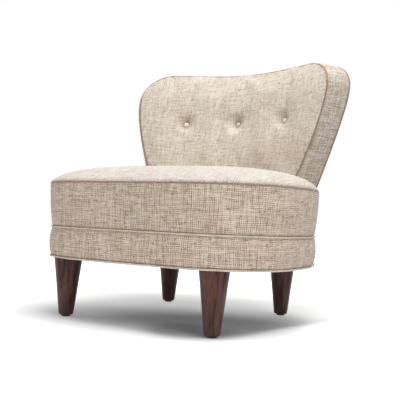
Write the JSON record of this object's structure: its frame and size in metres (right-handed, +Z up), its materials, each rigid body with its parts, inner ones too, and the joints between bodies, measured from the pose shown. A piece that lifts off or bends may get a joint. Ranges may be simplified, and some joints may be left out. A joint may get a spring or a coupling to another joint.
{
  "type": "slipper chair",
  "caption": "Armless low chair with a crowned linen seat, a curved, leaning and button-tufted back, piped edges and turned tapered wooden legs",
  "frame": {"origin": "on the floor, in the middle of the chair's box", "axes": "+X to the right of someone who looks at the front of the chair, -Y the front, +Z up"},
  "size_m": [0.792, 0.7616, 0.8047],
  "materials": {
    "linen": "natural slub linen weave",
    "piping": "linen covered cord",
    "foam": "open cell foam",
    "felt": "grey fibre felt",
    "dust_cloth": "black spunbond cloth",
    "frame_wood": "sawn hardwood, unfinished",
    "leg_wood": "dark stain, satin lacquer",
    "steel": "plain zinc plated steel",
    "glide_nylon": "black nylon",
    "twine": "waxed linen twine"
  },
  "bodies": {
    "root": {"seat_top_cover": "linen", "seat_boxing_band": "linen", "base_band": "linen", "inside_back_cover": "linen", "outside_back_cover": "linen", "back_boxing_band": "linen", "tufting_button_left": "linen", "tufting_button_middle": "linen", "tufting_button_right": "linen", "seat_top_welt": "piping", "seat_middle_welt": "piping", "base_welt": "piping", "back_front_welt": "piping", "back_rear_welt": "piping", "seat_foam": "foam", "back_foam": "foam", "spring_insulator": "felt", "base_padding": "felt", "edge_roll": "felt", "dust_cover": "dust_cloth", "front_rail": "frame_wood", "rear_rail": "frame_wood", "left_rail": "frame_wood", "right_rail": "frame_wood", "corner_block_front_left": "frame_wood", "corner_block_front_right": "frame_wood", "corner_block_rear_left": "frame_wood", "corner_block_rear_right": "frame_wood", "back_post_left": "frame_wood", "back_post_right": "frame_wood", "back_top_rail": "frame_wood", "back_bottom_rail": "frame_wood", "leg_front_left": "leg_wood", "leg_front_right": "leg_wood", "leg_rear_left": "leg_wood", "leg_rear_right": "leg_wood", "seat_spring_1": "steel", "seat_spring_2": "steel", "seat_spring_3": "steel", "seat_spring_4": "steel", "seat_spring_5": "steel", "hanger_bolt_front_left": "steel", "hanger_bolt_front_right": "steel", "hanger_bolt_rear_left": "steel", "hanger_bolt_rear_right": "steel", "tee_nut_front_left": "steel", "tee_nut_front_right": "steel", "tee_nut_rear_left": "steel", "tee_nut_rear_right": "steel", "back_bolt_left": "steel", "back_bolt_right": "steel", "glide_front_left": "glide_nylon", "glide_front_right": "glide_nylon", "glide_rear_left": "glide_nylon", "glide_rear_right": "glide_nylon", "tufting_twine_left": "twine", "tufting_twine_middle": "twine", "tufting_twine_right": "twine"}
  },
  "joints": []
}
